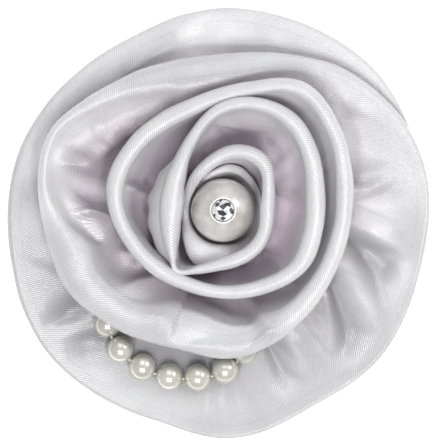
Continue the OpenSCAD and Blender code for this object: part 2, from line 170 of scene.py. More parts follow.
# ---- the satin strip ----
# Guides along the fold, by winding angle in degrees: the fold's radius from the bloom's middle and
# its height above the gathers, the half width of the roll, and how far the outer wall bulges, in
# millimetres. The strip winds clockwise, from the bud beside the pearl to the ruffle.
FIRST_ANGLE = 207.5
FOLD = np.array([
    [-290, 7.7, 4.5, 0.35, 0], [-272, 8.0, 8.6, 0.5, 0], [-252, 8.6, 10.2, 0.8, 0],
    [-236, 9.3, 10.2, 1.0, 0], [-220, 9.4, 8.4, 0.9, 0], [-203, 8.9, 5.2, 0.8, 0],
    [-180, 8.5, 3.6, 0.8, 0], [-130, 8.6, 4.0, 0.9, 0], [-92, 9.2, 7.0, 1.4, 0],
    [-62, 9.9, 10.0, 2.4, 0], [-36, 10.5, 10.5, 2.8, 0], [-8, 9.2, 8.6, 1.6, 0],
    [20, 8.3, 6.6, 0.9, 0], [60, 8.7, 10.5, 1.1, 0], [80, 9.4, 13.2, 1.3, 0], [100, 10.5, 14.6, 1.5, 0],
    [133, 13.2, 15.6, 1.6, 0], [158, 13.5, 16, 1.6, 0], [181, 11.0, 16, 1.5, 0],
    [207, 9.6, 15.6, 1.6, 0], [252, 10.6, 15.6, 1.6, 0], [299, 11.6, 16, 1.4, 0],
    [320, 13.8, 15.8, 1.1, 0.2], [335, 16.6, 15.2, 0.7, 0.2], [345, 14.7, 15.8, 1.1, 1.0],
    [356, 13.1, 16.5, 1.7, 2.2], [376, 11.6, 17, 2.3, 3.0], [400, 11.3, 17.3, 2.5, 3.0],
    [420, 12.3, 17.4, 2.1, 2.0], [435, 13.6, 17.4, 1.8, 0.8], [454, 16.8, 17.2, 1.6, 0.2],
    [476, 22.0, 17, 1.5, 0], [496, 24.2, 17, 1.5, 0], [516, 24.3, 17, 1.8, 0],
    [535, 22.4, 17, 2.1, 0], [556, 20.4, 17, 2.2, 0], [580, 20.0, 17, 2.2, 0],
    [604, 20.3, 16.8, 2.0, 0], [629, 18.7, 16.5, 1.7, 0], [654, 17.8, 16, 1.5, 0],
    [681, 17.7, 15.6, 1.5, 0], [703, 18.8, 16, 1.7, 0], [727, 20.8, 16, 1.8, 0],
    [758, 23.9, 16, 1.9, 0], [786, 23.7, 16, 2.0, 0], [804, 23.2, 16, 2.0, 0],
    [824, 23.6, 16, 1.9, 0], [849, 26.8, 16, 1.8, 0], [870, 31.2, 15.8, 1.7, 0],
    [890, 29.8, 15.6, 1.8, 0], [916, 26.9, 15.4, 2.0, 0], [940, 25.9, 15, 2.0, 0],
    [962, 26.1, 14.8, 2.1, 0], [985, 27.2, 14.4, 2.7, 0], [1011, 28.4, 13.8, 3.9, 0],
    [1037, 27.8, 13.5, 4.2, 0.3], [1060, 31.0, 13.5, 3.9, 0.5], [1081, 34.0, 13.5, 4.3, 0.3],
    [1094, 34.2, 13.5, 4.7, 0], [1104, 36.6, 13.5, 3.0, 0], [1113, 39.0, 13.5, 1.4, 0],
    [1125, 40.4, 13.3, 1.1, 0], [1134, 40.2, 13.2, 1.1, 0], [1146, 36.9, 13, 1.8, 0],
    [1164, 33.0, 12.6, 2.9, 0], [1194, 30.9, 11.6, 3.2, 0], [1217, 33.8, 9.8, 2.8, 0],
    [1236, 38.6, 7.8, 2.0, 0], [1257, 42.6, 5.8, 1.3, 0], [1279, 44.7, 5.0, 1.0, 0],
    [1301, 44.4, 4.8, 0.9, 0], [1331, 46.6, 4.9, 0.9, 0], [1353, 46.6, 5.0, 0.9, 0],
    [1375, 49.4, 5.2, 0.9, 0], [1395, 47.8, 5.2, 0.9, 0], [1429, 48.9, 5.0, 0.9, 0],
    [1456, 46.9, 4.8, 0.9, 0], [1484, 45.8, 4.8, 0.9, 0], [1513, 43.2, 5.2, 0.9, 0],
    [1532, 42.3, 5.4, 0.9, 0], [1555, 43.7, 5.2, 0.9, 0], [1580, 44.0, 4.4, 0.9, 0],
    [1606, 44.9, 3.2, 0.8, 0], [1640, 43.8, 2.1, 0.7, 0]])
FOOT_START, FOOT_PITCH, FOOT_WIDTH = 6.2, 3.6, 3.8      # mm: where the strip is sewn to the buckram
LEAST_FOOT = 4.7                         # the first turn is gathered round the glue
FOLD_STEP = 0.6                          # mm between two cross-sections, along the fold
RUFFLE_FROM, RUFFLE_BY = 1215, 1290      # the wall opens from a cup into a flat ruffle


def guide(a, column):
    """A smooth curve through one column of the fold's guides."""
    x, y = FOLD[:, 0], FOLD[:, column]
    slope = np.zeros_like(y)
    slope[1:-1] = (y[2:] - y[:-2]) / (x[2:] - x[:-2])
    i = np.clip(np.searchsorted(x, a, side="right") - 1, 0, len(x) - 2)
    w = x[i + 1] - x[i]
    t = (a - x[i]) / w
    return ((2 * t**3 - 3 * t**2 + 1) * y[i] + (t**3 - 2 * t**2 + t) * w * slope[i]
            + (3 * t**2 - 2 * t**3) * y[i + 1] + (t**3 - t**2) * w * slope[i + 1])


def bezier(p0, p1, p2, p3, t):
    """Cubic curves: p* are (n, 2), t is (m,), and the result is (n, m, 2)."""
    p0, p1, p2, p3 = (p[:, None, :] for p in (p0, p1, p2, p3))
    t = t[None, :, None]
    return (1 - t)**3 * p0 + 3 * (1 - t)**2 * t * p1 + 3 * (1 - t) * t**2 * p2 + t**3 * p3


WALL_STEPS, ROLL_STEPS = 36, 18          # points across a wall, and round the roll at the fold
STEEPER, LEAST_STEEP, MOST_STEEP = 1.35, 20, 86     # a cup's wall against its chord, and its limits
CUP_LEAVES, CUP_ENDS = 0.45, 0.85        # shares of the chord's angle at the gathers and under the roll
RUFFLE_LEAVES, RUFFLE_ROLL = 24, 97      # the same places of the ruffle, in degrees
WIDE, FLATTER = 2.1, 0.3                 # a roll of more than this half width, in mm, lies flatter


def strip_sections(a):
    """Cross-sections of the folded strip as (n, m, 2) of radius and height in mm."""
    r, h, q, bulge = (guide(a, c) for c in (1, 2, 3, 4))
    foot = np.maximum(FOOT_START + FOOT_PITCH * a / 360, LEAST_FOOT)
    foot_width = FOOT_WIDTH * (0.5 + 0.5 * ease((a + 60) / 160))
    open_out = ease((a - RUFFLE_FROM) / (RUFFLE_BY - RUFFLE_FROM))
    rise = np.minimum(q, WIDE + (q - WIDE) * FLATTER)
    low = h - rise
    # inner wall: from the gathers up to the roll
    chord = np.degrees(np.arctan2(low, np.maximum(r - q - foot, 0.5)))
    steep = np.clip(chord * STEEPER, LEAST_STEEP, MOST_STEEP)
    start = np.radians((90 + steep) * (1 - open_out) + RUFFLE_ROLL * open_out)
    p3 = np.stack([r + q * np.cos(start), low + rise * np.sin(start)], axis=1)
    tangent = np.stack([np.sin(start), -np.cos(start)], axis=1)
    p0 = np.stack([foot, np.zeros_like(foot)], axis=1)
    length = np.linalg.norm(p3 - p0, axis=1)
    leave = np.radians(chord * CUP_LEAVES * (1 - open_out) + RUFFLE_LEAVES * open_out)
    leave = np.stack([np.cos(leave), np.sin(leave)], axis=1)
    p1 = p0 + leave * length[:, None] * 0.35
    p2 = p3 - tangent * length[:, None] * 0.42
    inner = bezier(p0, p1, p2, p3, np.linspace(0, 1, WALL_STEPS))
    # outer wall: from under the roll back to the gathers
    p7 = np.stack([foot + foot_width, np.zeros_like(foot)], axis=1)
    end_deg = -np.degrees(np.arctan2(np.maximum(r - p7[:, 0], 0), np.maximum(low, 0.5))) * CUP_ENDS
    end = np.radians(end_deg)
    p4 = np.stack([r + q * np.cos(end), low + rise * np.sin(end)], axis=1)
    down = np.stack([np.sin(end), -np.cos(end)], axis=1)
    length = np.linalg.norm(p7 - p4, axis=1)
    p5 = p4 + down * length[:, None] * 0.33
    p5[:, 0] += bulge * 1.3
    p6 = p7 + (p4 - p7) * 0.3
    p6[:, 0] += bulge * 0.9
    outer = bezier(p4, p5, p6, p7, np.linspace(0, 1, WALL_STEPS))
    turn = start[:, None] + (end - start)[:, None] * np.linspace(0, 1, ROLL_STEPS + 2)[None, 1:-1]
    roll = np.stack([r[:, None] + q[:, None] * np.cos(turn),
                     low[:, None] + rise[:, None] * np.sin(turn)], axis=2)
    return np.concatenate([inner, roll, outer], axis=1)


def strip_angles():
    """Winding angles spaced evenly along the fold, and the lengths in mm at which they lie."""
    fine = np.linspace(FOLD[0, 0], FOLD[-1, 0], 20000)
    r = guide(fine, 1)
    x, y = r * np.cos(np.radians(FIRST_ANGLE - fine)), r * np.sin(np.radians(FIRST_ANGLE - fine))
    along = np.concatenate([[0], np.cumsum(np.hypot(np.diff(x), np.diff(y)))])
    count = int(along[-1] / FOLD_STEP)
    s = np.linspace(0, along[-1], count)
    return np.interp(s, along, fine), s


# Creases and folds of the satin, by the winding angles that they lie between: where the line starts
# and ends in plan from the bloom's middle, half width and height in mm. Ridges, or hollows if the
# height is negative; one is a step.
RUFFLE, OUTER, INNER = (1240, 1640), (1040, 1240), (430, 700)
CREASES = [
    (RUFFLE, [
        # right side: two ridges from one pucker, and the folds below them
        ((28, 2.6), (36, 6.2), 0.9, 0.8), ((29, 7), (40, 6.3), 2.2, -1.0),
        ((28.2, 2.4), (43, -3.2), 1.0, 0.9), ((27.5, -2.7), (35, -5.8), 1.1, 1.1),
        ((35, -5.8), (42.5, -10.5), 1.3, 1.0), ((27.5, -6), (35, -10.5), 1.9, -1.1),
        ((31, -10), (37.5, -19), 3.0, -1.3), ((25.5, -10), (33, -22.5), 1.2, 1.1),
        ((24, -16.5), (28.5, -30), 1.8, -1.6), ((22.5, -19), (24, -27), 0.8, 0.9),
        ((10, -29.5), (13.5, -36), 1.7, -1.0), ((16, -30), (19, -38), 2.5, 0.7),
        # lower left and left
        ((-38, -24.5), (-28, -21.5), 1.7, -1.2), ((-38, -28.5), (-29, -25.5), 1.5, 0.9),
        ((-36, -33), (-26, -30), 2.0, -1.1), ((-41, -10), (-33, -12), 2.4, 0.6),
        ((-43, 3), (-38, 2), 2.2, -0.6),
        # top
        ((-20, 31), (-14, 36), 1.5, -0.9), ((-8, 33), (-4, 41), 2.6, 0.6),
        ((27, 17), (41, 11.5), 4.0, 1.0), ((31, 22), (40, 22.5), 2.0, -0.9),
        ((14, 34), (18, 41), 1.8, -0.6)]),
    # broad left wall of the outer petal
    (OUTER, [
        ((-26, 15.5), (-19, 20.5), 2.6, -1.3), ((-19.1, 19.6), (-9.2, 25.6), 1.8, -1.4),
        ((-9.2, 25.8), (5, 27), 1.6, -1.3), ((-37, 3.6), (-25, 3.2), 3.2, 1.5),
        ((-33.5, 10.4), (-24, 7.4), 3.0, -3.2), ((-35.5, 14.8), (-33, 14.2), 0.6, 0.6),
        ((-27.5, 18), (-23.6, 12.5), 1.1, 0.45), ((-27.5, 18), (-21.5, 22.4), 1.0, 0.45),
        ((-32, -0.8), (-26.5, -2.4), 0.6, -1.0), ((-27.6, -5.7), (-34.8, 1.2), 0.7, 1.6),
        ((-25.5, -3.9), (-33.6, 3.6), 1.5, -1.9), ((-20, -11.5), (-14, -18.5), 2.4, -2.2),
        ((-18.5, 20.5), (-12, 18), 0.7, -0.9), ((-15, 23), (-2, 26), 1.2, -0.5)]),
    # bottom of the middle and outer petals
    ((920, 1080), [((6.4, -20.5), (11, -26), 1.7, -1.7)]),
    ((960, 1080), [((-7, -28), (4.5, -25.8), 1.9, 0.8)]),
    ((940, 1080), [((-19.5, -17.5), (-3, -21.8), 1.6, -1.7)]),
    ((960, 1090), [((7, -28.8), (16.5, -21.5), 0.45, -0.5)]),
    ((940, 1080), [((-2, -21.4), (6, -21.8), 1.1, 0.8)]),
    # left wall of the middle petal
    ((700, 860), [
        ((-20.6, 5.4), (-15.2, 4.2), 1.0, 1.2, "step"), ((-18, -9), (-15, -13), 1.2, -0.8)]),
    # inner wall of the second turn
    (INNER, [
        ((-0.5, 19), (8.5, 18.4), 0.8, -0.8), ((-4.2, 15.8), (0, 17.3), 0.5, 1.0),
        ((0, 17.3), (0.4, 14.6), 0.45, 0.8), ((11, 13.5), (15, 9), 2.2, 0.9),
        ((11.2, 4.3), (17.2, 2.4), 0.8, -1.0), ((10.8, 2.2), (16, 0.4), 1.2, 0.8),
        ((8.3, -9.4), (12, -11.6), 0.6, -0.9), ((2, -12.5), (6, -14.5), 1.1, 0.6)]),
]
CREASE_WIDER, CREASE_TALLER, RUFFLE_TALLER = 1.25, 1.7, 1.1
SOFT_SIDE, STEEP_SIDE = 0.62, 1.2        # how fast a crease falls off to its two sides


def crease_heights(a, x, y):
    """Sum of the creases at every point, before it is faded out towards the roll."""
    total = np.zeros_like(x)
    for span, (start, end, width, height, *step) in ((span, row) for span, rows in CREASES for row in rows):
        width, height = width * CREASE_WIDER, height * CREASE_TALLER
        if span == RUFFLE:
            height *= RUFFLE_TALLER
        start, end = np.array(start), np.array(end)
        line = end - start
        length = np.linalg.norm(line)
        line = line / length
        px, py = x - start[0], y - start[1]
        t = px * line[0] + py * line[1]
        spread = width * (0.6 + 0.8 * np.clip(t / length, 0, 1.5))      # it opens out as it goes
        d = (px * -line[1] + py * line[0]) / spread
        d = np.where(d > 0, d * SOFT_SIDE, d * STEEP_SIDE)
        past = np.maximum(-t, 0) / (width * 1.2) + np.maximum(t - length, 0) / (width * 2.6)
        shape = 2.2 * d * np.exp(-d * d) if step else np.exp(-d * d)
        shape = shape * (1 - 0.35 * np.clip(t / length, 0, 1))
        here = ((a > span[0]) & (a < span[1]))[:, None]
        total += np.where(here, height * shape * np.exp(-past * past), 0)
    return total


# Heights and spacings of the smaller waves, in mm
RIDGE_LIMIT = 1.3                        # no crease stands up further than this
GATHER_HEIGHT, GATHER_PITCH = 0.75, 8.5
SWELL, RUFFLE_SWELL, FINE_WAVE, ROLL_WAVE = 0.6, 0.8, 0.06, 0.12
WIDE_ROLL, WIDE_BAND = 2.4, 1.2          # folds run on over a roll wider than this
LAST_LAYER = 1560                        # winding angle where the strip slips under its own ruffle
LOWEST = 0.02
# Shares of painted shade and painted light on the satin
RUFFLE_PAINTED_SHADE, ROLL_PAINTED_SHADE, BUD_LIGHT = 0.17, 0.14, 0.2
FOLD_SHADE = 0.14                        # for each mm of a fold's height
DEEP_FOLD = 0.15                         # how much more painted valley shade each mm of a fold's depth adds


def make_satin():
    """The whole strip, wound, gathered and creased."""
    a, along = strip_angles()
    section = strip_sections(a)
    rows, cols = section.shape[:2]
    direction = np.radians(FIRST_ANGLE - a)[:, None]
    r, z = section[:, :, 0], section[:, :, 1]
    x, y = r * np.cos(direction), r * np.sin(direction)
    place = np.stack([x, y, z], axis=2)

    # how far each point may move: nothing at the gathers, little on the roll
    step = np.linspace(0, 1, WALL_STEPS)
    wall_free = ease(step / 0.18) * (1 - ease((step - 0.72) / 0.28))
    inner_free = np.concatenate([wall_free, np.zeros(cols - WALL_STEPS)])[None, :]
    outer_free = inner_free[:, ::-1]
    wide = np.clip((guide(a, 3) - WIDE_ROLL) / WIDE_BAND, 0, 1)[:, None]
    onto_roll = 1 - ease((np.arange(ROLL_STEPS) / ROLL_STEPS - 0.5) / 0.4)
    all_wall = ease(step / 0.18)
    reach = np.concatenate([all_wall, onto_roll, np.zeros(WALL_STEPS)])[None, :]
    crease = crease_heights(a, x, y)
    crease = np.where(crease > 0, RIDGE_LIMIT * np.tanh(crease / RIDGE_LIMIT), crease)
    crease = crease * (inner_free * (1 - wide) + reach * wide)
    cup = 1 - ease((a - RUFFLE_FROM) / (RUFFLE_BY - RUFFLE_FROM))[:, None]
    # gathers: folds that start at the stitched foot and fade towards the roll
    ease_from_foot = np.concatenate([(1 - step)**1.3, np.zeros(ROLL_STEPS), step**1.3])[None, :]
    near_foot = np.concatenate([ease(step / 0.12), np.ones(ROLL_STEPS), ease((1 - step) / 0.12)])
    near_foot = near_foot[None, :]
    v = np.linspace(0, 1, cols)[None, :]
    size = 0.6 + 0.4 * smooth_noise(along, 3, 16)[:, None]
    phase = along[:, None] / GATHER_PITCH + 1.2 * smooth_noise(along, 5, 15)[:, None] + 0.8 * v
    gathers = GATHER_HEIGHT * size * np.cos(2 * np.pi * phase) * ease_from_foot * near_foot
    gathers = gathers * (1 - 0.35 * ease((a - RUFFLE_FROM) / 60))[:, None]
    soft = SWELL * smooth_noise2(along[:, None] + 9 * v, v * 30, 11, 9, 11) * (inner_free + outer_free)
    soft += RUFFLE_SWELL * smooth_noise2(x + 3, y, 37, 13, 13) * (inner_free + outer_free) * (1 - cup)
    fine = FINE_WAVE * smooth_noise2(along[:, None] + 22 * v, v * 40, 17, 3.4, 9)
    fine = fine * (inner_free + outer_free)
    roll_wave = ROLL_WAVE * smooth_noise2(along[:, None], v * 10, 23, 6, 5)
    push = crease + gathers + soft + fine + roll_wave
    underside = np.concatenate([np.zeros(WALL_STEPS + ROLL_STEPS), np.ones(WALL_STEPS)])[None, :]
    push = push * (1 - underside * (1 - cup) * 0.75)
    # the last layer slips under the first part of the ruffle
    push = push * (1 - 0.8 * ease((a - LAST_LAYER) / 40))[:, None]

    du = np.gradient(place, axis=0)
    dv = np.gradient(place, axis=1)
    normal = np.cross(dv, du)
    normal /= np.maximum(np.linalg.norm(normal, axis=2, keepdims=True), 1e-9)
    place = place + normal * push[:, :, None]
    place[:, :, 2] = np.maximum(place[:, :, 2], LOWEST)
    points = place * MM + np.array([BLOOM[0], BLOOM[1], PETAL_Z])
    across = np.concatenate([np.zeros((rows, 1)),
                             np.cumsum(np.linalg.norm(np.diff(section, axis=1), axis=2), axis=1)], axis=1)
    obj = mesh_object("satin_strip", points.reshape(-1, 3), grid_faces(rows, cols))
    grid_uv(obj, rows, cols, np.repeat(along[:, None], cols, axis=1) * MM, across * MM)
    # how deep in a valley each point lies: 0 on the fold, 1 at the gathers, more in a fold's hollow; the
    # material paints deeper points darker and more purple, as painted shade with the tint of light bounced
    # between the satin's walls
    deep = 1 - section[:, :, 1] / np.maximum(guide(a, 2), 1)[:, None]
    deep = deep + DEEP_FOLD * np.clip(-push, 0, 2.6)
    add_values(obj, "deep", np.clip(deep * (0.15 + 0.85 * cup) + 0.08 * (1 - cup), 0, 1))
    # painted light and shade: the ruffle painted darker away from the top, where less light falls; the wide
    # rolls of the later turns painted darker; folds and gathers painted lighter where they stand out and
    # darker where they sink; the bud's floor painted lighter
    flat = 1 - cup
    to_top = np.clip(0.2 + (0.15 * x + 0.8 * y) / np.hypot(x, y), 0, 1)
    shade = 1 - RUFFLE_PAINTED_SHADE * flat * (1 - 0.95 * to_top)
    shade = shade * (1 - ROLL_PAINTED_SHADE * wide * ease((a - 900) / 60)[:, None])
    shade = shade * (1 + FOLD_SHADE * (1 + 0.2 * flat) * np.clip(push, -2.4, 1.2))
    shade = shade * (1 + BUD_LIGHT * ease((30 - a) / 40)[:, None])
    add_values(obj, "shade", shade)
    top = across[:, WALL_STEPS + ROLL_STEPS // 2]
    add_values(obj, "from_fold", np.abs(across - top[:, None]))
    return obj


# ---- materials ----
class Look:
    """A Principled material. sockets are other inputs by name, with _ for a space."""
    def __init__(self, name, color, roughness, **sockets):
        self.mat = bpy.data.materials.new(name)
        self.mat.use_nodes = True
        self.nodes, self.links = self.mat.node_tree.nodes, self.mat.node_tree.links
        self.bsdf = self.nodes["Principled BSDF"]
        self.bsdf.inputs["Base Color"].default_value = (*color, 1)
        self.bsdf.inputs["Roughness"].default_value = roughness
        for socket, value in sockets.items():
            self.bsdf.inputs[socket.replace("_", " ")].default_value = value

    def node(self, kind, coords=None, **inputs):
        """A node with its inputs set by name, with _ for a space."""
        node = self.nodes.new("ShaderNode" + kind)
        for socket, value in inputs.items():
            node.inputs[socket.replace("_", " ")].default_value = value
        if coords is not None:
            self.links.new(coords, node.inputs["Vector"])
        return node

    def noise(self, coords, scale, detail=3.0, roughness=0.5):
        return self.node("TexNoise", coords, Scale=scale, Detail=detail, Roughness=roughness).outputs["Fac"]

    def ramp(self, factor, *stops):
        """Colours along a factor: each stop is (position, colour)."""
        node = self.node("ValToRGB")
        points = node.color_ramp.elements
        while len(points) < len(stops):
            points.new(0.5)
        for point, (position, color) in zip(points, stops):
            point.position = position
            point.color = (*color, 1)
        self.links.new(factor, node.inputs["Fac"])
        return node.outputs["Color"]

    def multiply(self, a, b, factor):
        """Colour a darkened by colour b, by a share that is a number or an output."""
        node = self.node("Mix")
        node.data_type = "RGBA"
        node.blend_type = "MULTIPLY"
        for socket, value in (("A", a), ("B", b), ("Factor", factor)):
            wanted = "VALUE" if socket == "Factor" else "RGBA"
            self.put(value, [x for x in node.inputs if x.name == socket and x.type == wanted][0])
        return [x for x in node.outputs if x.type == "RGBA"][0]

    def math(self, operation, a, b):
        node = self.node("Math")
        node.operation = operation
        self.put(a, node.inputs[0])
        self.put(b, node.inputs[1])
        return node.outputs[0]

    def put(self, value, entry):
        """Sets an input to a number, or links an output to it."""
        if isinstance(value, (int, float)):
            entry.default_value = value
        else:
            self.links.new(value, entry)

    def bump(self, *layers):
        """Each layer is (height output, distance in metres); later layers lie on earlier ones."""
        normal = None
        for height, distance in layers:
            node = self.node("Bump", Strength=1, Distance=distance)
            self.links.new(height, node.inputs["Height"])
            if normal is not None:
                self.links.new(normal, node.inputs["Normal"])
            normal = node.outputs["Normal"]
        self.feed("Normal", normal)

    def feed(self, socket, output):
        self.links.new(output, self.bsdf.inputs[socket])

    def paint(self, color):
        self.feed("Base Color", color)

    def attribute(self, name):
        node = self.node("Attribute")
        node.attribute_name = name
        return node.outputs["Fac"]

    def object_coords(self):
        return self.node("TexCoord").outputs["Object"]

    def weave_coords(self, angle, scale=(1, 1, 1)):
        """The strip's own coordinates, turned by an angle in degrees."""
        uv = self.node("UVMap")
        uv.uv_map = "weave"
        return self.turned(uv.outputs["UV"], angle, scale)

    def turned(self, coords, angle, scale=(1, 1, 1)):
        turn = (0, 0, math.radians(angle))
        return self.node("Mapping", coords, Rotation=turn, Scale=scale).outputs["Vector"]

    def stripes(self, coords, period, distortion=0.0):
        """Sine bands with the given period in metres: at scale 1 Blender's bands are 2 pi / 20 apart."""
        return self.node("TexWave", coords, Scale=2 * math.pi / 20 / period, Distortion=distortion,
                         Detail=2, Detail_Scale=0.02).outputs["Fac"]


# The satin's colours from the fold down into the valley; the valley colour is painted shade, darker and
# purple as light bounced between the walls
SATIN_HIGH, SATIN_WALL, SATIN_VALLEY_SHADE = (0.70, 0.70, 0.708), (0.72, 0.705, 0.727), (0.70, 0.62, 0.685)
WEAVE_PITCH, WEAVE_ANGLE = 0.46 * MM, 38
WHITE = (1, 1, 1)


def satin_material():
    """Silver-white satin: a twill with floats along the strip and a soft gloss."""
    look = Look("satin", (0.6, 0.59, 0.61), 0.29, Sheen_Weight=0.1, Sheen_Roughness=0.4,
                Anisotropic=0.5, Specular_IOR_Level=1.0)
    tangent = look.node("Tangent")
    tangent.direction_type = "UV_MAP"
    tangent.uv_map = "weave"
    look.feed("Tangent", tangent.outputs["Tangent"])
    deep = look.attribute("deep")
    # painted shade: the colour turns darker and more purple deeper in the valleys
    valley_shade = look.ramp(deep, (0.0, SATIN_HIGH), (0.3, SATIN_WALL), (0.95, SATIN_VALLEY_SHADE))
    plain = look.weave_coords(0)
    cloud = look.ramp(look.noise(plain, 130, 3), (0.35, (0.93, 0.925, 0.935)), (0.65, WHITE))
    tone = look.multiply(valley_shade, cloud, 1.0)
    twill = look.stripes(look.weave_coords(WEAVE_ANGLE), WEAVE_PITCH, 1.6)
    floats = look.noise(look.weave_coords(0, (900, 4200, 1)), 1, 2)
    # the weave is strong on the fold and blurred low on the walls
    lines = look.ramp(twill, (0.0, (0.74, 0.74, 0.745)), (0.7, WHITE))
    strength = look.math("ADD", look.math("MULTIPLY", deep, -0.7), 0.9)
    tone = look.multiply(tone, lines, strength)
    glint = look.ramp(floats, (0.34, (0.9, 0.9, 0.905)), (0.66, WHITE))
    tone = look.multiply(tone, glint, 1.0)
    # painted light and shade from the strip's shade values
    tone = look.multiply(tone, look.attribute("shade"), 1.0)
    # a painted shade line 3 to 3.5 mm to each side of the fold, standing in for the crease of the pressed hem
    share = look.math("DIVIDE", look.attribute("from_fold"), 10.0)
    hem_shade_line = look.ramp(share, (0.0, WHITE), (0.30, WHITE), (0.325, (0.86, 0.855, 0.865)), (0.35, WHITE))
    tone = look.multiply(tone, hem_shade_line, 0.6)
    look.paint(tone)
    look.bump((look.noise(plain, 420, 2), 0.12 * MM), (twill, 0.05 * MM), (floats, 0.03 * MM))
    return look.mat


def pearl_material(name, light, dark, scale, cream, gloss, metal):
    """Nacre under a clear gloss."""
    look = Look(name, light, gloss, Coat_Weight=0.9, Coat_Roughness=0.06, Metallic=metal,
                Specular_IOR_Level=0.9)
    coords = look.object_coords()
    swirl = look.noise(coords, scale, 3, 0.55)
    tone = look.ramp(swirl, (0.36, dark), (0.62, light))
    patch = look.ramp(look.noise(coords, scale * 0.45, 2), (0.4, cream), (0.62, WHITE))
    look.paint(look.multiply(tone, patch, 0.6))
    look.bump((look.noise(coords, scale * 2.2, 3), 0.05 * MM))
    return look.mat


def crystal_material():
    """Painted reflections: each facet is painted bright or dark, for the part of the room that cut glass
    would mirror.
    """
    look = Look("crystal", (0.9, 0.9, 0.92), 0.08, Metallic=0.0, Coat_Weight=1.0, Coat_Roughness=0.02)
    look.paint(look.ramp(look.attribute("facet"), (0.0, (0.01, 0.01, 0.012)), (0.45, (0.16, 0.16, 0.17)),
                         (0.6, (0.75, 0.76, 0.78)), (1.0, (0.98, 0.98, 0.98))))
    return look.mat


def glue_material():
    look = Look("glue", (0.78, 0.74, 0.62), 0.25, Subsurface_Weight=0.25, Subsurface_Scale=1.5 * MM,
                Coat_Weight=0.4)
    coords = look.object_coords()
    look.paint(look.ramp(look.noise(coords, 500), (0.3, (0.68, 0.63, 0.5)), (0.7, (0.82, 0.79, 0.7))))
    look.bump((look.noise(coords, 700, 2), 0.15 * MM))
    return look.mat


def thread_material():
    look = Look("thread", (0.74, 0.7, 0.6), 0.6, Sheen_Weight=0.4)
    coords = look.object_coords()
    fibre = look.noise(coords, 3000, 3)
    look.paint(look.ramp(fibre, (0.3, (0.6, 0.56, 0.46)), (0.7, (0.82, 0.79, 0.71))))
    look.bump((fibre, 0.06 * MM))
    return look.mat


def buckram_material():
    """Sized open weave."""
    look = Look("buckram", (0.74, 0.72, 0.66), 0.8)
    coords = look.object_coords()
    across, along = (look.stripes(look.turned(coords, angle), 0.8 * MM, 0.5) for angle in (0, 90))
    grid = look.math("MULTIPLY", across, along)
    look.paint(look.ramp(grid, (0.0, (0.5, 0.48, 0.42)), (0.6, (0.78, 0.76, 0.7))))
    look.bump((grid, 0.2 * MM), (look.noise(coords, 2500), 0.05 * MM))
    return look.mat


def felt_material():
    """Pressed fibres: mottled, matt and slightly hairy."""
    look = Look("felt", (0.6, 0.58, 0.6), 0.95, Sheen_Weight=0.6, Sheen_Roughness=0.6,
                Specular_IOR_Level=0.2)
    coords = look.object_coords()
    mottle = look.noise(coords, 240, 4, 0.6)
    fibre = look.noise(coords, 1800, 5, 0.75)
    tone = look.ramp(mottle, (0.3, (0.56, 0.54, 0.57)), (0.7, (0.7, 0.68, 0.71)))
    fleck = look.ramp(fibre, (0.35, (0.82, 0.81, 0.82)), (0.6, WHITE))
    look.paint(look.multiply(tone, fleck, 1.0))
    look.bump((mottle, 0.25 * MM), (fibre, 0.12 * MM))
    return look.mat


def steel_material(name, color, roughness, brushed):
    """Nickel-plated steel, brushed along X, with a few handling marks."""
    look = Look(name, color, roughness, Metallic=1.0)
    coords = look.object_coords()
    stretch = look.node("Mapping", coords, Scale=(120, brushed, brushed))
    grain = look.noise(stretch.outputs["Vector"], 1, 4, 0.6)
    smudge = look.noise(coords, 260, 3)
    rough = look.node("MapRange", From_Min=0.3, From_Max=0.7,
                      To_Min=roughness - 0.06, To_Max=roughness + 0.12)
    look.links.new(smudge, rough.inputs["Value"])
    look.feed("Roughness", rough.outputs["Result"])
    worn = tuple(0.82 * c for c in color)
    look.paint(look.ramp(smudge, (0.28, worn), (0.5, color)))
    edge = look.node("Bevel", Radius=0.12 * MM)
    edge.samples = 4
    node = look.node("Bump", Distance=0.02 * MM)
    look.links.new(grain, node.inputs["Height"])
    look.links.new(edge.outputs["Normal"], node.inputs["Normal"])
    look.feed("Normal", node.outputs["Normal"])
    return look.mat


SATIN = satin_material()
PEARL = pearl_material("pearl", light=(0.78, 0.77, 0.755), dark=(0.50, 0.47, 0.44), scale=170,
                       cream=(0.96, 0.93, 0.89), gloss=0.3, metal=0.3)
BEAD = pearl_material("small_pearl", light=(0.64, 0.63, 0.585), dark=(0.52, 0.51, 0.46), scale=260,
                      cream=(0.98, 0.96, 0.9), gloss=0.2, metal=0.35)
CRYSTAL = crystal_material()
GLUE = glue_material()
THREAD = thread_material()
BUCKRAM = buckram_material()
FELT = felt_material()
CLIP_STEEL = steel_material("clip_steel", (0.52, 0.52, 0.53), 0.24, 4000)
PIN_STEEL = steel_material("pin_steel", (0.42, 0.42, 0.44), 0.3, 4000)
SPRING_STEEL = steel_material("spring_steel", (0.34, 0.34, 0.36), 0.28, 3000)


# ---- satin ----
def finish_piece(obj, material, body="flower"):
    obj.data.materials.append(material)
    if body:
        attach(obj, body)
    return obj


satin = finish_piece(make_satin(), SATIN)
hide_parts("bud_fold", "inner_petal", "middle_petal", "outer_petal", "base_ruffle")


# ---- centre pearl and crystal ----
def lathe(name, profile, sides, centre):
    """A closed surface turned round +Z from (radius, height) points; the end radii may be 0."""
    turn = np.linspace(0, 2 * np.pi, sides, endpoint=False)
    r, z = np.array(profile, dtype=float).T
    rings = np.stack([r[:, None] * np.cos(turn), r[:, None] * np.sin(turn),
                      np.repeat(z[:, None], sides, 1)], axis=2)
    verts = list((rings + np.array(centre)).reshape(-1, 3))
    return mesh_object(name, verts, [f[::-1] for f in grid_faces(len(r), sides, close_cols=True)])


PEARL_AT = (pearl_low + pearl_high) / 2
PEARL_AT[2] = pearl_low[2] + PEARL_R
crystal_low, crystal_high = corners("centre_crystal")
STONE_R = (crystal_high[0] - crystal_low[0]) / 2


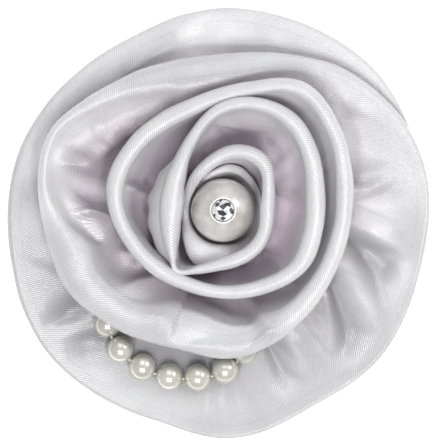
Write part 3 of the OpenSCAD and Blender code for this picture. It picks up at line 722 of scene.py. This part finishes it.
def make_pearl():
    """The pearl, a little out of round, with a bevelled seat for the stone."""
    seat = STONE_R + 0.1 * MM
    lip = seat + 0.42 * MM
    top = math.acos(lip / PEARL_R)
    around = np.linspace(-np.pi / 2 + 0.004, top, 90)
    profile = [(PEARL_R * math.cos(t), PEARL_R * math.sin(t)) for t in around]
    lip_z = profile[-1][1]
    profile += [(lip - 0.1 * MM, lip_z + 0.1 * MM), (lip - 0.22 * MM, lip_z + 0.1 * MM),
                (seat + 0.02 * MM, lip_z - 0.1 * MM), (seat, lip_z - 0.35 * MM),
                (0.02 * MM, lip_z - 2.2 * MM)]
    obj = lathe("pearl_body", profile, 128, PEARL_AT)
    place = mesh_points(obj)
    out = place - PEARL_AT
    swell = smooth_noise2(out[:, 0] / MM, out[:, 1] / MM + 3 * out[:, 2] / MM, 31, 5, 7)
    keep_seat = ease((lip_z - out[:, 2]) / (2 * MM))
    set_points(obj, place + out / PEARL_R * (swell * keep_seat * 0.05 * MM)[:, None])
    return obj


def mesh_points(obj):
    points = np.empty(len(obj.data.vertices) * 3)
    obj.data.vertices.foreach_get("co", points)
    return points.reshape(-1, 3)


def set_points(obj, points):
    obj.data.vertices.foreach_set("co", np.asarray(points).reshape(-1))
    obj.data.update()


def make_crystal():
    """A round brilliant: table, stars, kites, upper and lower girdle facets, and a pavilion."""
    table_z = crystal_high[2]
    girdle_z = table_z - 1.15 * MM
    low_z = crystal_low[2]
    n = 8

    def ring(radius, z, count, offset=0.0):
        turn = (np.arange(count) + offset) * 2 * np.pi / count
        return [(BLOOM[0] + radius * math.cos(t), BLOOM[1] + radius * math.sin(t), z) for t in turn]

    table = ring(STONE_R * 0.55, table_z, n)
    star = ring(STONE_R * 0.76, table_z - 0.48 * MM, n, 0.5)
    girdle = ring(STONE_R * 0.995, girdle_z, 2 * n)
    under = ring(STONE_R * 0.995, girdle_z - 0.18 * MM, 2 * n)
    foot = ring(STONE_R * 0.4, low_z + 0.75 * MM, n, 0.5)
    tip = [(BLOOM[0], BLOOM[1], low_z + 0.02 * MM)]
    verts = table + star + girdle + under + foot + tip
    t0, s0, g0, u0, f0, tip0 = 0, n, 2 * n, 4 * n, 6 * n, 7 * n
    faces = []
    # the table is cut into wedges, so that each wedge can carry its own painted reflection of the pavilion,
    # light or dark
    centre = len(verts)
    verts.append((BLOOM[0], BLOOM[1], table_z))
    for i in range(n):
        j = (i + 1) % n
        g, u, g_next, u_next = g0 + 2 * i, u0 + 2 * i, g0 + 2 * j, u0 + 2 * j
        faces += [(t0 + i, t0 + j, centre), (t0 + j, t0 + i, s0 + i), (t0 + j, s0 + i, g_next, s0 + j),
                  (s0 + i, g, g + 1), (s0 + i, g + 1, g_next), (f0 + i, u, u + 1),
                  (f0 + i, u + 1, u_next), (f0 + i, u_next, f0 + j), (f0 + i, f0 + j, tip0)]
    for i in range(2 * n):
        j = (i + 1) % (2 * n)
        faces.append((g0 + i, u0 + i, u0 + j, g0 + j))
    obj = mesh_object("crystal_stone", verts, faces, smooth=False)
    turn_outwards(obj)
    # painted reflections: dark middle, bright ring, dark points at the rim
    rng = np.random.default_rng(8)
    values = []
    for face in obj.data.polygons:
        distance = from_axis(face) / STONE_R
        chance = 0.45 if distance < 0.4 else 0.9 if distance < 0.72 else 0.72
        values.append(0.55 + 0.45 * rng.random() if rng.random() < chance else 0.3 * rng.random())
    add_values(obj, "facet", values, domain="FACE")
    return obj


def turn_outwards(obj):
    """Makes every face of a convex piece look away from its middle."""
    middle = Vector(mesh_points(obj).mean(axis=0))
    wrong = [f.index for f in obj.data.polygons if f.normal.dot(f.center - middle) < 0]
    for index in wrong:
        obj.data.polygons[index].flip()
    obj.data.update()


# A whiter, glossier finish for the seat and lip round the stone: a painted highlight ring
def seat_highlight_material():
    look = Look("pearl_seat_highlight", (0.93, 0.93, 0.92), 0.12, Coat_Weight=1.0, Coat_Roughness=0.03)
    coords = look.object_coords()
    look.paint(look.ramp(look.noise(coords, 1400), (0.35, (0.78, 0.77, 0.75)), (0.6, (0.95, 0.95, 0.94))))
    look.bump((look.noise(coords, 2600), 0.03 * MM))
    return look.mat


pearl = finish_piece(make_pearl(), PEARL)
# the seat and lip round the stone take the whiter material, a painted highlight ring
pearl.data.materials.append(seat_highlight_material())
lip_r = STONE_R + 0.56 * MM
for face in pearl.data.polygons:
    if from_axis(face) < lip_r and face.center[2] > PEARL_AT[2]:
        face.material_index = 1
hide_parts("centre_pearl")
crystal = finish_piece(make_crystal(), CRYSTAL)
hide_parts("centre_crystal")


def make_glue():
    """The lump of hot glue that the pearl sits in."""
    low, high = corners("pearl_glue")
    radius = (high[0] - low[0]) / 2
    sides, rows = 64, 14
    turn = np.linspace(0, 2 * np.pi, sides, endpoint=False)
    t = np.linspace(0, 1, rows)[:, None]
    wobble = 1 + 0.1 * np.sin(3 * turn + 0.6) + 0.06 * np.sin(5 * turn + 2)
    r = radius * np.cos(t * np.pi / 2 * 0.72)**0.6 * 0.9 * wobble
    z = PETAL_Z + 0.01 * MM + t * (high[2] - PETAL_Z) + 0 * turn
    x, y = BLOOM[0] + r * np.cos(turn), BLOOM[1] + r * np.sin(turn)
    return mesh_object("glue_lump", np.stack([x, y, z], axis=2).reshape(-1, 3),
                       [f[::-1] for f in grid_faces(rows, sides, close_cols=True)])


glue = finish_piece(make_glue(), GLUE)
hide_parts("pearl_glue")


# ---- bead swag ----
# The thread's route from the foot of the outer petal round the swag and back under the fold, in
# millimetres from the bloom's middle and the middle of the hair gap.
hinge_low, hinge_high = corners("hinge_pin")
GAP_Z = (hinge_low[2] + hinge_high[2]) / 2
SWAG = np.array([
    [-20.3, -12.8, 7.1], [-22.0, -13.6, 8], [-24, -15.4, 9.5], [-25.7, -18.2, 10.8],
    [-26.2, -21.6, 11.8], [-25.3, -25.4, 12.3], [-24.1, -28.4, 12.5], [-22.3, -31.1, 12.5],
    [-19.8, -33.2, 12.5], [-17, -34.8, 12.5], [-14.1, -36.1, 12.5], [-11, -36.8, 12.5],
    [-8, -36.9, 12.5], [-4.9, -36.6, 12.5], [-1.8, -36.2, 12.5], [1.0, -35, 12.3],
    [3.4, -32.9, 11.9], [5.2, -30.5, 11.3], [6.4, -28.1, 10.4], [7.1, -25.9, 9.2],
    [7.3, -24.1, 8.1], [7.2, -22.9, 7.3]])
THREAD_D = 0.6 * MM
LEAST_BEAD = 4 * MM                      # a loose part lower than this isn't a bead


def swag_path(per_span=6):
    """Catmull-Rom curve through the route, in metres in the frame."""
    p = np.concatenate([SWAG[:1], SWAG, SWAG[-1:]]) * MM + np.array([BLOOM[0], BLOOM[1], GAP_Z])
    path = []
    for i in range(1, len(p) - 2):
        for t in np.arange(per_span) / per_span:
            a, b, c, d = p[i - 1], p[i], p[i + 1], p[i + 2]
            path.append(b + 0.5 * t * (c - a + t * (2 * a - 5 * b + 4 * c - d + t * (3 * b - a - 3 * c + d))))
    path.append(p[-2])
    return np.array(path)


def tube(path, radius, sides=12, twist=0.0, lobes=0.0):
    """A round tube along a path. lobes and twist give it the outline of a laid thread."""
    path = np.asarray(path)
    step = np.gradient(path, axis=0)
    step /= np.linalg.norm(step, axis=1, keepdims=True)
    along = np.concatenate([[0], np.cumsum(np.linalg.norm(np.diff(path, axis=0), axis=1))])
    side = np.cross(step[0], [0.31, 0.22, 0.93])
    rings = []
    for i, t in enumerate(step):
        side = side - t * np.dot(side, t)
        side /= np.linalg.norm(side)
        turn = np.linspace(0, 2 * np.pi, sides, endpoint=False)
        r = radius * (1 - lobes + lobes * np.abs(np.cos(turn - twist * along[i])))
        outwards = np.cos(turn)[:, None] * side + np.sin(turn)[:, None] * np.cross(t, side)
        rings.append(path[i] + r[:, None] * outwards)
    verts = np.array(rings).reshape(-1, 3)
    faces = grid_faces(len(path), sides, close_cols=True)
    last = (len(path) - 1) * sides
    faces += [tuple(range(sides))[::-1], tuple(last + k for k in range(sides))]
    return verts, faces


def thread_pieces():
    path = swag_path()
    length = float(np.linalg.norm(np.diff(path, axis=0), axis=1).sum())
    verts, faces = tube(path, THREAD_D / 2, 14, twist=1900.0, lobes=0.12)
    return mesh_object("swag_cord", verts, faces), path, length


def bead_places():
    """Middle of each bead of the CAD swag, from its loose parts."""
    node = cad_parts["swag_beads"]
    points = mesh_points(node)
    parent = list(range(len(points)))

    def root(i):
        while parent[i] != i:
            parent[i] = parent[parent[i]]
            i = parent[i]
        return i

    for edge in node.data.edges:
        a, b = root(edge.vertices[0]), root(edge.vertices[1])
        parent[a] = b
    groups = {}
    for i in range(len(points)):
        groups.setdefault(root(i), []).append(i)
    parts = [points[ids] for ids in groups.values()]
    boxes = [(part.min(axis=0), part.max(axis=0)) for part in parts]
    boxes = [b for b in boxes if b[1][2] - b[0][2] > LEAST_BEAD]
    middles = []
    for low, high in boxes:
        middle = (low + high) / 2
        if all(np.linalg.norm(middle - m) > MM for m in middles):
            middles.append(middle)
    return middles


def make_beads(path):
    """The bored beads, each very slightly out of round, with worn rims at the bore."""
    middles = sorted(bead_places(), key=lambda m: np.argmin(np.linalg.norm(path - m, axis=1)))
    radius, bore = 3 * MM, 0.62 * MM
    rng = np.random.default_rng(77)
    verts, faces = [], []
    rows, sides = 34, 48
    for middle in middles:
        near = int(np.argmin(np.linalg.norm(path - middle, axis=1)))
        axis = Vector(path[min(near + 4, len(path) - 1)] - path[max(near - 4, 0)]).normalized()
        turn = axis.to_track_quat("Z", "Y").to_matrix()
        start = math.asin(bore / radius)
        t = np.linspace(start, np.pi - start, rows)
        size = radius * (1 - 0.006 * rng.random())
        rim = size * math.cos(start)
        profile = [(bore, rim - 0.9 * MM), (bore, rim - 0.1 * MM)]
        profile += [(size * math.sin(q), size * math.cos(q)) for q in t[1:-1]]
        profile += [(bore, -rim + 0.1 * MM), (bore, -rim + 0.9 * MM)]
        first = len(verts)
        for r, z in profile:
            for k in range(sides):
                q = 2 * math.pi * k / sides
                verts.append(np.array(turn @ Vector((r * math.cos(q), r * math.sin(q), z))) + middle)
        faces += [tuple(first + i for i in f) for f in grid_faces(len(profile), sides, close_cols=True)]
    return mesh_object("swag_pearls", verts, faces)


cord, cord_path, cord_length = thread_pieces()
finish_piece(cord, THREAD)
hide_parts("swag_thread")
beads = finish_piece(make_beads(cord_path), BEAD)
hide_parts("swag_beads")


# ---- back: buckram, felt and stitches ----
def soft_disc(name, low, high, rough, edge_wave, seed):
    """A cloth disc with a rounded, slightly uneven edge."""
    radius, thick = (high[0] - low[0]) / 2, high[2] - low[2]
    sides, rings = 220, 26
    turn = np.linspace(0, 2 * np.pi, sides, endpoint=False)
    outline = radius * (1 - edge_wave * (0.5 + 0.5 * smooth_noise(turn * 30, seed, 4)))
    share = np.linspace(0.02, 0.97, rings)
    half = thick / 2
    profile = [(s, half) for s in share]
    profile += [(0.97 + 0.03 * math.sin(q), half * math.cos(q)) for q in np.linspace(0.15, math.pi - 0.15, 9)]
    profile += [(s, -half) for s in share[::-1]]
    s, z = np.array(profile).T
    x = (low[0] + high[0]) / 2 + s[:, None] * outline * np.cos(turn)
    y = (low[1] + high[1]) / 2 + s[:, None] * outline * np.sin(turn)
    dent = rough * smooth_noise2(x / MM, y / MM, seed + 1, 1.1, 1.1) - rough
    z = (low[2] + high[2]) / 2 + z[:, None] + np.sign(z)[:, None] * dent
    verts = np.stack([x, y, z], axis=2).reshape(-1, 3)
    faces = [f[::-1] for f in grid_faces(len(profile), sides, close_cols=True)]
    last = (len(profile) - 1) * sides
    faces += [tuple(range(sides)), tuple(last + k for k in range(sides))[::-1]]
    return mesh_object(name, verts, faces)


buckram = finish_piece(soft_disc("buckram_disc", stiff_low, stiff_high, rough=0.01 * MM, edge_wave=0.004,
                                 seed=41), BUCKRAM)
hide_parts("stiffener_disc")
felt = finish_piece(soft_disc("felt_disc", felt_low, felt_high, rough=0.05 * MM, edge_wave=0.012, seed=43),
                    FELT)
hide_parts("felt_back")


def make_strap():
    """The felt strip that holds the lever against the felt disc."""
    low, high = corners("felt_strap")
    thick = 1.36 * MM
    mid_y, half_l = (low[1] + high[1]) / 2, (high[1] - low[1]) / 2
    flat_z, over_z = felt_low[2] - thick / 2 - 0.01 * MM, low[2] + thick / 2 + 0.02 * MM
    rows, cols = 64, 22
    y = np.linspace(-half_l, half_l, rows)
    z = over_z + (flat_z - over_z) * ease((np.abs(y) - 4.75 * MM) / (1.5 * MM))
    slope = np.gradient(z, y)
    normal = np.stack([-slope, np.ones_like(y)], axis=1) / np.sqrt(1 + slope**2)[:, None]
    x = np.linspace(low[0], high[0], cols)
    verts = []
    for side in (-1, 1):
        for i in range(rows):
            end = 1 - 0.35 * math.exp(-((half_l - abs(y[i])) / (0.35 * MM))**2)
            for k in range(cols):
                from_edge = min(k, cols - 1 - k) / 2
                h = thick / 2 * end * (1 - 0.35 * math.exp(-from_edge**2 * 3))
                py, pz = y[i] + normal[i, 0] * h * side, z[i] + normal[i, 1] * h * side
                verts.append((x[k], mid_y + np.clip(py, -half_l, half_l), pz))
    verts = np.array(verts)
    verts[:, 0] += 0.12 * MM * smooth_noise(verts[:, 1] / MM, 51, 2.5)
    verts[:, 0] = np.clip(verts[:, 0], low[0], high[0])
    top = rows * cols
    faces = [f[::-1] for f in grid_faces(rows, cols)]
    faces += [tuple(top + i for i in f) for f in grid_faces(rows, cols)]
    rim = list(range(cols)) + [i * cols + cols - 1 for i in range(1, rows)]
    rim += [(rows - 1) * cols + k for k in range(cols - 2, -1, -1)]
    rim += [i * cols for i in range(rows - 2, 0, -1)]
    for i, a in enumerate(rim):
        b = rim[(i + 1) % len(rim)]
        faces.append((a, b, top + b, top + a))
    return mesh_object("felt_strip", verts, faces)


strap = finish_piece(make_strap(), FELT)
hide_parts("felt_strap")


def make_stitches():
    """Slanting whip stitches of two-ply thread round the felt's edge."""
    radius = (felt_high[0] - felt_low[0]) / 2 - 2.1 * MM
    clip_low, clip_high = corners("upper_lever")
    skip = (clip_high[1] - clip_low[1]) / 2 + 0.6 * MM
    count, length, lean = 32, 3.2 * MM, math.radians(18)
    rng = np.random.default_rng(19)
    verts, faces = [], []
    for i in range(count):
        q = (i + 0.5 + 0.12 * (rng.random() - 0.5)) * 2 * math.pi / count
        if abs(radius * math.sin(q)) < skip:
            continue
        out = np.array([math.cos(q), math.sin(q), 0])
        across = np.array([-math.sin(q), math.cos(q), 0])
        slant = lean + 0.12 * (rng.random() - 0.5)
        line = out * math.cos(slant) - across * math.sin(slant)
        middle = np.array([BLOOM[0], BLOOM[1], felt_low[2]]) + out * radius
        t = np.linspace(-1, 1, 22)
        rise = 0.3 * MM * (1 - np.abs(t)**3.5) - 0.09 * MM
        for ply in (0, math.pi):
            turn = t * 5.2 + ply
            path = (middle + t[:, None] * length / 2 * line
                    + np.outer(np.sin(turn) * 0.11 * MM, np.cross(line, [0, 0, 1])))
            path[:, 2] -= rise - np.cos(turn) * 0.08 * MM
            tv, tf = tube(path, 0.14 * MM, 8)
            faces += [tuple(len(verts) + k for k in f) for f in tf]
            verts += list(tv)
    return mesh_object("whip_stitches", verts, faces)


stitches = finish_piece(make_stitches(), THREAD)
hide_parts("felt_stitches")


# ---- clip ----
def wear_material(name, material):
    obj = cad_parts[name]
    obj.data.materials.clear()
    obj.data.materials.append(material)


wear_material("upper_lever", CLIP_STEEL)
wear_material("lower_lever", CLIP_STEEL)
wear_material("hinge_pin", PIN_STEEL)


def make_spring():
    """The torsion spring: the leg under the upper lever, the coils, the leg on the lower lever."""
    low, high = corners("torsion_spring")
    wire = 0.3 * MM
    hinge = (hinge_low + hinge_high) / 2
    coil_r = high[0] - wire - hinge[0]
    half = (high[1] - low[1]) / 2 - wire
    turns, steps = 4.5, 26
    end_x = low[0] + wire * 1.1
    coil = [(hinge[0] + coil_r * math.cos(a), half * (1 - 2 * k / (turns * steps)), coil_r * math.sin(a))
            for k in range(int(turns * steps) + 1) for a in [math.pi / 2 - k * 2 * math.pi / steps]]
    top_z, low_z = high[2] - hinge[2] - wire, low[2] - hinge[2] + wire
    upper = leg_points((end_x, top_z), (hinge[0], coil_r), half)
    lower = leg_points((end_x, low_z), (hinge[0], -coil_r), -half)[::-1]
    path = np.array(upper + coil[1:-1] + lower) + np.array([0, hinge[1], hinge[2]])
    verts, faces = tube(path, wire, 14)
    return mesh_object("spring_wire", verts, faces), hinge, half


def leg_points(end, coil, y, count=14):
    """A leg that leaves the coil along its tangent and bends to the end point."""
    t = np.linspace(0, 1, count)
    x = end[0] + (coil[0] - end[0]) * t
    z = coil[1] + (end[1] - coil[1]) * (1 - t)**1.6
    return [(float(a), y, float(b)) for a, b in zip(x, z)]


spring, hinge_at, coil_half = make_spring()
finish_piece(spring, SPRING_STEEL, body=None)
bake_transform(spring)
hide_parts("torsion_spring")


# ---- stage ----
def make_stage():
    """A plain white floor under a soft key light from the swag's side and a broad top light."""
    look = Look("floor_paper", (0.93, 0.93, 0.93), 0.9, Emission_Strength=0.62)
    look.bsdf.inputs["Emission Color"].default_value = (1, 1, 1, 1)
    size = 3.0
    floor = mesh_object("floor", [(-size, -size, 0), (size, -size, 0), (size, size, 0), (-size, size, 0)],
                        [(0, 1, 2, 3)], smooth=False)
    floor.data.materials.append(look.mat)
    world = bpy.data.worlds.new("studio")
    world.use_nodes = True
    world.node_tree.nodes["Background"].inputs["Color"].default_value = (1, 1, 1, 1)
    world.node_tree.nodes["Background"].inputs["Strength"].default_value = 0.46
    bpy.context.scene.world = world
    bpy.context.scene.view_settings.view_transform = "Standard"
    for i, (x, y) in enumerate(((-0.13, -0.24), (0.12, -0.26), (-0.12, -0.44), (0.14, -0.46))):
        add_light("key_%d" % i, (x, y, 0.72), 0.13, 1.08)
    add_light("side", (0.5, 0.3, 0.5), 0.3, 1.3)
    add_light("back", (0.0, 0.5, 0.66), 0.5, 1.3)


def add_light(name, place, size, power):
    data = bpy.data.lights.new(name, "AREA")
    data.shape = "SQUARE"
    data.size = size
    data.energy = power
    light = bpy.data.objects.new(name, data)
    light.location = place
    aim = Vector((0, 0, 0.02)) - Vector(place)
    light.rotation_euler = aim.to_track_quat("-Z", "Y").to_euler()
    bpy.context.collection.objects.link(light)


make_stage()
